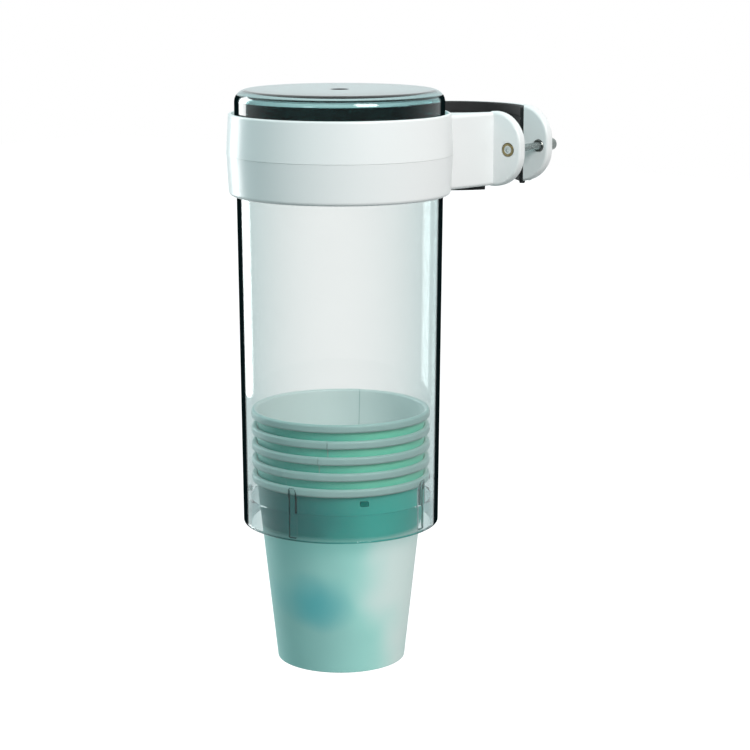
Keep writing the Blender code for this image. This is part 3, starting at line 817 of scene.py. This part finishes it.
def smoke_plastic(
    name, tint, lamp_tint, edge=None, bands=(), index=PLASTIC_INDEX, slant=SLANT_SHARE
):
    """Clear plastic with a smoke tint, which lamps shine through with a tint of their own. It
    darkens at a slant. Where the wall is seen on end, whatever the height of the view, an edge is
    painted nearly black: painted shade for the dark that the edge refracts. Each band from low to
    high
    is painted in a dark shade of its own: the lid's foot band is painted shade, and its shoulder
    band is a painted dark reflection."""
    finish = Finish(name)
    haze = finish.noise(60.0, 3.0)
    facing = finish.add("LayerWeight", None, {"Blend": 0.5}, "Facing")
    colour = finish.mix(facing * slant, finish.clouded(haze, tint), SLANT_TINT)
    for low, high, soft, shade in bands:
        height = finish.height(finish.place)
        above = finish.ramp(height, low - soft, low, kind="LINEAR")
        below = finish.ramp(height, high + soft, high, kind="LINEAR")
        outward = 1 - finish.add("NewGeometry", output="Backfacing")
        colour = finish.mix(above * below * outward, colour, shade)
    body = finish.principled(colour, haze * 0.03, IOR=index, Transmission_Weight=1.0)
    # The painted shade of the edge: a nearly black finish mixed in where the wall is seen on end.
    if edge:
        upright = finish.add("CombineXYZ", None, {"Z": 1.0})
        steep = 1 - finish.add("LayerWeight", None, {"Blend": 0.5, "Normal": upright}, "Facing")
        aside = 1 - (1 - facing) / (JUST_OVER_ONE - steep * steep) ** 0.5
        dark = finish.principled((*EDGE_PAINTED_SHADE, 1), 1.0, Specular_IOR_Level=0.0)
        body = finish.blend(finish.ramp(aside, *edge), body, dark)
    each_face = [part ** 0.5 for part in lamp_tint]
    passed = finish.add("BsdfTransparent", None, {"Color": (*each_face, 1)})
    lamps = finish.clamp(finish.light_path("Shadow") + finish.light_path("Diffuse"))
    return finish.close(finish.blend(lamps, body, passed))


def from_axis(face):
    """The level way from the tube's axis to the middle of a face."""
    return Vector((face.center.x, face.center.y - AXIS_Y, 0))


def outer_skin(face):
    """1 for an upright face that looks away from the tube's axis, 2 for a pip's face, painted
    shade.
    """
    out = from_axis(face)
    if out.length < MOUTH_INNER - SMALL_EDGE and face.center.z < 0:
        return 2
    return int(face.normal.dot(out.normalized()) > SKIN_TURN)


def round_tube(number):
    """The place of a rib, by its number, on the tube's axis. Halves lie between the ribs."""
    turn = math.radians(RIB_TURN - 90 + 360 * number / RIB_COUNT)
    return TUBE_AXIS @ Matrix.Rotation(turn, 4, "Z")


def make_pips():
    """Four small stops, half way between the ribs, that run into the tube's wall."""
    low = MOUTH_Z + PIP_RISE - PIP_HEIGHT
    inner, outer, half = RETAINER_INNER, tube_inner(low) + TUBE_WALL / 2, PIP_WIDTH / 2
    pips = []
    for number in range(RIB_COUNT):
        shape = pushed([(inner, -half), (outer, -half), (outer, half), (inner, half)], PIP_HEIGHT)
        soften(shape, shape.edges[:], SMALL_EDGE, SMALL_EDGE_STEPS)
        place = round_tube(number + 0.5) @ Matrix.Translation((0, 0, low))
        pips.append(solid("pip", shape, place))
    return pips


tube_finishes = (
    smoke_plastic("smoke_plastic", SMOKE_TINT, SMOKE_LAMP_TINT, index=TUBE_INDEX),
    smoke_plastic(
        "smoke_plastic_skin", SMOKE_TINT, SMOKE_LAMP_TINT, edge=WALL_EDGE, index=TUBE_INDEX
    ),
    smoke_plastic("pip_plastic_painted_shade", PIP_PAINTED_SHADE, SMOKE_LAMP_TINT, index=PIP_INDEX),
)
lip = TUBE_WALL * FULL_ROUND
tube = solid("tube_shell", turned(outline([
    (TUBE_TOP_INNER, FLANGE_HIGH, SMALL_EDGE), (FLANGE_RADIUS, FLANGE_HIGH, SMALL_EDGE),
    (FLANGE_RADIUS, FLANGE_LOW, SMALL_EDGE),
    (tube_inner(FLANGE_LOW) + TUBE_WALL, FLANGE_LOW, SMALL_EDGE),
    (MOUTH_INNER + TUBE_WALL, MOUTH_Z, lip), (MOUTH_INNER, MOUTH_Z, lip),
])), TUBE_AXIS)
for pip in make_pips():
    combine(tube, pip)
finish_piece(tube, "tube", "tube", "smoke_plastic", *tube_finishes, sorted_by=outer_skin)


# The cup retainer, a clear ring snapped into the tube's mouth. Its four ribs slope in below the
# lowest cup's rim and spring back as the cup is pulled.
RETAINER_OUTER = 0.0381
RETAINER_HEIGHT = 0.011
RETAINER_INSET = 0.0002
RETAINER_EDGE = 0.0002
RIB_RADIUS = 0.03605
RIB_SHOULDER = -0.1338
RIB_WIDTH = 0.004
RIB_SLOPE = 22
RIB_ROUND = 0.0009
RIB_FACING, RIB_SIDEWAYS = 0.9, 0.2
RETAINER_TINT = (0.97, 0.99, 0.99)
# Painted shade: the ribs are as clear as the ring, and their sides and rounded edges are painted
# dark.
RIB_SIDE_PAINTED_SHADE = (0.22, 0.34, 0.34)
RIB_EDGE_PAINTED_SHADE = (0.008, 0.02, 0.02)
RETAINER_INDEX = 1.06


def make_ribs():
    """Four wedges that narrow the mouth below their slope."""
    back, low = RETAINER_OUTER - RETAINER_INSET, MOUTH_Z + 2 * RETAINER_INSET
    top = RIB_SHOULDER + (back - RIB_RADIUS) / math.tan(math.radians(RIB_SLOPE))
    plan = [(RIB_RADIUS, low), (back, low), (back, top), (RIB_RADIUS, RIB_SHOULDER)]
    upright = Matrix.Translation((0, RIB_WIDTH / 2, 0)) @ STANDING
    ribs = []
    for number in range(RIB_COUNT):
        shape = pushed(plan, RIB_WIDTH)
        soften(shape, shape.edges[:], RIB_ROUND, SMALL_EDGE_STEPS)
        ribs.append(solid("rib", shape, round_tube(number) @ upright))
    return ribs


def rib_faces(face):
    """1 for a rib's flat sides, 2 for its rounded edges, 0 for its front and for the ring. The
    sides and the edges get painted shade.
    """
    out = from_axis(face)
    ring_top = MOUTH_Z + RETAINER_HEIGHT + RETAINER_INSET / 2
    if out.length > RETAINER_INNER - RETAINER_INSET / 2 and face.center.z < ring_top:
        return 0
    outwards = abs(face.normal.dot(out.normalized()))
    if outwards > RIB_FACING:
        return 0
    return 1 if outwards < RIB_SIDEWAYS and abs(face.normal.z) < RIB_SIDEWAYS else 2


low, high = MOUTH_Z + RETAINER_INSET, MOUTH_Z + RETAINER_HEIGHT
retainer = solid("retainer_ring", turned(outline([
    (RETAINER_INNER, high, RETAINER_EDGE), (RETAINER_OUTER, high, RETAINER_EDGE),
    (RETAINER_OUTER, low, SMALL_EDGE), (RETAINER_INNER, low, SMALL_EDGE),
])), TUBE_AXIS)
for rib in make_ribs():
    combine(retainer, rib)
retainer_finishes = [
    smoke_plastic(name, tint, RETAINER_TINT, index=RETAINER_INDEX)
    for name, tint in (
        ("retainer_plastic", RETAINER_TINT), ("rib_plastic_painted_shade", RIB_SIDE_PAINTED_SHADE),
        ("rib_edge_painted_shade", RIB_EDGE_PAINTED_SHADE),
    )
]
finish_piece(
    retainer, "cup_retainer", "tube", "smoke_plastic", *retainer_finishes, sorted_by=rib_faces
)


# The cups, five of them nested: a side wall of coated board, printed outside with a soft colour
# wash, rolled over at the rim, glued down one side and hemmed round the skirt of the base. Painted
# light and shade lie over the print, and the rims are painted in shade.
CUP_HEIGHT = 0.0793
CUP_PAPER = 0.00035
CUP_BASE_RADIUS = 0.0263
CUP_RIM_RADIUS = 0.0365
CUP_RIM_WIDTH = 0.00215
CUP_RIM_HEIGHT = 0.0034
ROLL_UNDERSIDE = 0.9
CUP_PITCH = 0.006559
LOWEST_CUP_Z = -0.208988
WALL_SLOPE = 0.108247
HEM_HEIGHT = 0.0045
LAYER_GAP = 0.0003
BASE_PAPER = 0.0004
BASE_STEPS = 96
CUP_STEPS = 120
SEAM_LIFT = 0.0003
SEAM_SPAN = 14
SEAM_STEP = 0.6
CUP_SEAM_TURNS = (204.0, 28.8, 23.0, -1.7, 150.0)


def cup_wall_shape():
    """The side wall with its rolled rim and its hem, spun about Z."""
    rim_low = CUP_HEIGHT - CUP_RIM_HEIGHT
    roll = CUP_RIM_WIDTH * FULL_ROUND
    hem_out = CUP_BASE_RADIUS - 2 * CUP_PAPER - 2 * LAYER_GAP
    hem_in = hem_out - CUP_PAPER
    inner = CUP_BASE_RADIUS - CUP_PAPER
    points = [
        (inner + WALL_SLOPE * (CUP_HEIGHT - roll), CUP_HEIGHT, roll),
        (CUP_RIM_RADIUS, CUP_HEIGHT, roll), (CUP_RIM_RADIUS, rim_low, roll * ROLL_UNDERSIDE),
        (CUP_BASE_RADIUS + WALL_SLOPE * rim_low, rim_low),
        (CUP_BASE_RADIUS, 0, CUP_PAPER), (hem_in, 0, CUP_PAPER),
        (hem_in + WALL_SLOPE * HEM_HEIGHT, HEM_HEIGHT),
        (hem_out + WALL_SLOPE * HEM_HEIGHT, HEM_HEIGHT),
        (hem_out + WALL_SLOPE * CUP_PAPER, CUP_PAPER), (inner + WALL_SLOPE * CUP_PAPER, CUP_PAPER),
    ]
    return turned(outline(points), CUP_STEPS)


def wall_middle(height):
    """The radius of the middle of a cup's wall, at a height above its foot."""
    return CUP_BASE_RADIUS - CUP_PAPER / 2 + WALL_SLOPE * height


def make_cup_wall(name, base_z, seam_turn):
    """A cup's side wall, stepped along its glued seam."""
    shape = cup_wall_shape()
    bmesh.ops.remove_doubles(shape, verts=shape.verts, dist=MERGE)
    step = 360 / CUP_STEPS
    for corner in shape.verts:
        radius = math.hypot(corner.co.x, corner.co.y)
        side = 1 if radius > wall_middle(corner.co.z) else -1
        along = math.degrees(math.atan2(corner.co.y, corner.co.x)) * side
        if step / 2 < along < step * 1.5:
            along = SEAM_STEP
            back = Matrix.Rotation(math.radians((SEAM_STEP - step) * side), 4, "Z")
            corner.co = back @ corner.co
        if 0 < along < SEAM_SPAN and corner.co.z > CUP_PAPER:
            scale = 1 + side * SEAM_LIFT * (1 - along / SEAM_SPAN) / radius
            corner.co.x *= scale
            corner.co.y *= scale
    turn = Matrix.Rotation(math.radians(seam_turn - 90), 4, "Z")
    return solid(name, shape, TUBE_AXIS @ Matrix.Translation((0, 0, base_z)) @ turn)


def cup_face_finish(face, base_z, seam_turn):
    """0 for a cup's printed outside, 1 for its bare inside, 2 for the outer half of its rolled rim,
    which is painted in shade, and 3 for the seam's cut edge."""
    height = face.center.z - base_z
    x, y = face.center.x, face.center.y - AXIS_Y
    radius = math.hypot(x, y)
    turn = (math.degrees(math.atan2(y, x)) + 90 - seam_turn + 180) % 360 - 180
    if 0 < (turn if radius > wall_middle(height) else -turn) < SEAM_STEP:
        return 3
    if height > CUP_HEIGHT - CUP_RIM_HEIGHT:
        return 2 if radius > CUP_RIM_RADIUS - CUP_RIM_WIDTH / 2 else 1
    return int(radius < wall_middle(height))


def make_cup_base(name, base_z):
    """A cup's base disc with its skirt turned down."""
    top = CUP_PITCH - LAYER_GAP
    skirt = CUP_BASE_RADIUS - CUP_PAPER - LAYER_GAP
    skirt_in = skirt - CUP_PAPER
    points = [
        (0, top), (skirt + WALL_SLOPE * top, top, CUP_PAPER),
        (skirt + WALL_SLOPE * LAYER_GAP, LAYER_GAP), (skirt_in + WALL_SLOPE * LAYER_GAP, LAYER_GAP),
        (skirt_in + WALL_SLOPE * top, top - BASE_PAPER), (0, top - BASE_PAPER),
    ]
    shape = turned(outline(points, closed=False, steps=SMALL_EDGE_STEPS), BASE_STEPS)
    return solid(name, shape, TUBE_AXIS @ Matrix.Translation((0, 0, base_z)))


def paper_bump(finish):
    """The faint tooth of coated board."""
    return finish.bump(finish.noise(1500.0, 4.0), 0.12, 0.0001)


# The print's heights are shares of the cup's, and its sides are shares of the rim's radius along
# WASH_WAY. The cloud's place and width that way are in metres. A pair of tints goes from the dark
# side to the light side: over the print lie painted shade on the side away from the key lamp and
# painted light on the side towards it, and the deep pair is darkened further as painted shade where
# the cups hang in the tube.
WASH_WAY = (0.80, 0.60, 0)
WASH_FOOT, WASH_WANDER = (0.72, 0.76), 0.03
NECK, LOW_CUP_NECK = (0.84, 0.95), 0.1
PAINTED_LIGHT_SIDE, PALE_SIDE, SIDE_DRIFT = (-0.8, 0.5), (0.1, 0.8), 1.2
CLOUD_ACROSS, CLOUD_WIDTH = -0.013, 0.019
CLOUD_HEIGHT, CLOUD_RISE = 0.40, 0.12
CLOUD_EDGE, CLOUD_RAGGED = (1.9, -0.8), 4
# Print tints with painted shade and painted light in them, each pair from the shaded side to the
# lit side.
DEEP_PRINT_AND_SHADE_TINTS = (0.012, 0.18, 0.18), (0.075, 0.58, 0.50)
NECK_PRINT_AND_SHADE_TINTS = (0.14, 0.56, 0.48), (0.30, 0.84, 0.62)
PALE_PRINT_AND_SHADE_TINTS = (0.30, 0.58, 0.55), (0.40, 0.80, 0.73)
PALEST_PRINT_AND_LIGHT_TINT = (0.74, 0.89, 0.86)
CLOUD_TINT = (0.10, 0.47, 0.50)


def printed_paper_and_shade(name, base_z, neck_share):
    """Board printed with a soft wash, deep green-teal under the rim and pale and cloudy below, with
    painted shade on the side away from the key lamp and where the cups hang in the tube, and
    painted light on the side towards the key lamp.
    """
    finish = Finish(name)
    height = (finish.height(finish.place) - base_z) / CUP_HEIGHT
    cloud = finish.noise(30.0, 2.0, Roughness=0.4)
    across = finish.along(finish.place, WASH_WAY) - WASH_WAY[1] * AXIS_Y
    drift = across / CUP_RIM_RADIUS + (cloud - 0.5) * SIDE_DRIFT
    # Painted light: lighter towards the key lamp's side, darker away from it.
    light = finish.ramp(drift, *PAINTED_LIGHT_SIDE)
    aside, above = (across - CLOUD_ACROSS) / CLOUD_WIDTH, (height - CLOUD_HEIGHT) / CLOUD_RISE
    far = aside * aside + above * above + (cloud - 0.5) * CLOUD_RAGGED
    pale = finish.mix(finish.ramp(far, *CLOUD_EDGE), finish.mix(light, *PALE_PRINT_AND_SHADE_TINTS), CLOUD_TINT)
    pale = finish.mix(finish.ramp(drift, *PALE_SIDE), pale, PALEST_PRINT_AND_LIGHT_TINT)
    neck = finish.ramp(height, *NECK, to=(0.0, neck_share))
    deep = finish.mix(neck, finish.mix(light, *DEEP_PRINT_AND_SHADE_TINTS), finish.mix(light, *NECK_PRINT_AND_SHADE_TINTS))
    wash = finish.ramp(height + cloud * WASH_WANDER, *WASH_FOOT)
    return finish.close(finish.principled(
        finish.mix(wash, pale, deep), 0.42 + cloud * 0.08, Normal=paper_bump(finish)
    ))


def plain_paper(name, dull, bright):
    """Unprinted coated board, as on the inside, the rim and the base. The rim's dull grey-teal is
    painted shade.
    """
    finish = Finish(name)
    fleck = finish.noise(220.0, 3.0)
    return finish.close(finish.principled(
        finish.mix(fleck, dull, bright), 0.45 + fleck * 0.1, Normal=paper_bump(finish)
    ))


board = plain_paper("plain_board", (0.80, 0.83, 0.82), (0.86, 0.88, 0.87))
# Painted shade: the rolled rims are white board, painted grey-teal for the shade they lie in inside
# the tube.
rim_board_painted_shade = plain_paper("rim_board_painted_shade", (0.46, 0.61, 0.59), (0.53, 0.68, 0.66))
cut_board = plain_paper("cut_board", (0.40, 0.50, 0.48), (0.50, 0.60, 0.58))
for number, seam_turn in enumerate(CUP_SEAM_TURNS, 1):
    lowest = number == len(CUP_SEAM_TURNS)
    body, neck_share = ("cup_low", LOW_CUP_NECK) if lowest else ("cup_stack", 1.0)
    base_z = LOWEST_CUP_Z + (len(CUP_SEAM_TURNS) - number) * CUP_PITCH
    printed = printed_paper_and_shade(f"printed_and_shaded_board_{number}", base_z, neck_share)
    wall = make_cup_wall(f"cup_{number}_side", base_z, seam_turn)
    finish_piece(
        wall, f"cup_{number}_wall", body, "cup_paper", printed, board, rim_board_painted_shade, cut_board,
        sorted_by=partial(cup_face_finish, base_z=base_z, seam_turn=seam_turn),
    )
    base = make_cup_base(f"cup_{number}_disc", base_z)
    finish_piece(base, f"cup_{number}_base", body, "cup_paper", board)


# The lid, a smoke-clear cap with a round shoulder and a moulding dimple in the middle. It stands on
# the tube's flange, and a plug below it keeps it centred. Its foot is painted nearly black, painted
# shade for the dark inside of the ring that shows through it.
LID_LOW, LID_HIGH = 0.01385, 0.0255
LID_RADIUS = 0.042028
LID_SHOULDER = 0.0048
LID_WALL = 0.0018
LID_STEPS = 10
LID_SEAT_HEIGHT = 0.0022
PLUG_RADIUS, PLUG_WALL = 0.039828, 0.0015
PLUG_DEPTH = 0.0065
DIMPLE_RADIUS, DIMPLE_DEPTH = 0.0037, 0.0008
LID_TINT = (0.60, 0.78, 0.78)
LID_LAMP_TINT = (0.92, 1.0, 1.0)
LID_SLANT = 1.7
# Painted shade: a nearly black belt round the lid's foot, for the dark inside of the ring seen
# through it.
FOOT_PAINTED_SHADE = (LID_LOW, 0.0211, 0.0003, (0.0007, 0.0018, 0.0018))
# Painted reflection: a thin dark line round the shoulder, for the dark reflection of the inner
# shoulder.
SHOULDER_PAINTED_REFLECTION = (0.0232, 0.0237, 0.0002, (0.004, 0.012, 0.012))

inside = LID_RADIUS - LID_WALL
plug_inside, plug_low = PLUG_RADIUS - PLUG_WALL, LID_LOW - PLUG_DEPTH
dimple_floor, roof = LID_HIGH - DIMPLE_DEPTH, LID_HIGH - LID_WALL
lid = solid("lid_cap", turned(outline([
    (0, dimple_floor), (DIMPLE_RADIUS - DIMPLE_DEPTH, dimple_floor, SMALL_EDGE),
    (DIMPLE_RADIUS, LID_HIGH, SMALL_EDGE), (LID_RADIUS, LID_HIGH, LID_SHOULDER),
    (LID_RADIUS, LID_LOW, SMALL_EDGE), (PLUG_RADIUS, LID_LOW), (PLUG_RADIUS, plug_low, SMALL_EDGE),
    (plug_inside, plug_low, SMALL_EDGE), (plug_inside, LID_LOW),
    (inside, LID_LOW + LID_SEAT_HEIGHT), (inside, roof, LID_SHOULDER - LID_WALL), (0, roof),
], closed=False, steps=LID_STEPS)), TUBE_AXIS)
lid_finishes = (
    smoke_plastic("lid_plastic", LID_TINT, LID_LAMP_TINT, bands=[SHOULDER_PAINTED_REFLECTION], slant=LID_SLANT),
    smoke_plastic(
        "lid_plastic_skin", LID_TINT, LID_LAMP_TINT, edge=WALL_EDGE,
        bands=[FOOT_PAINTED_SHADE, SHOULDER_PAINTED_REFLECTION], slant=LID_SLANT,
    ),
)
finish_piece(lid, "lid", "lid", "smoke_plastic", *lid_finishes, sorted_by=outer_skin)
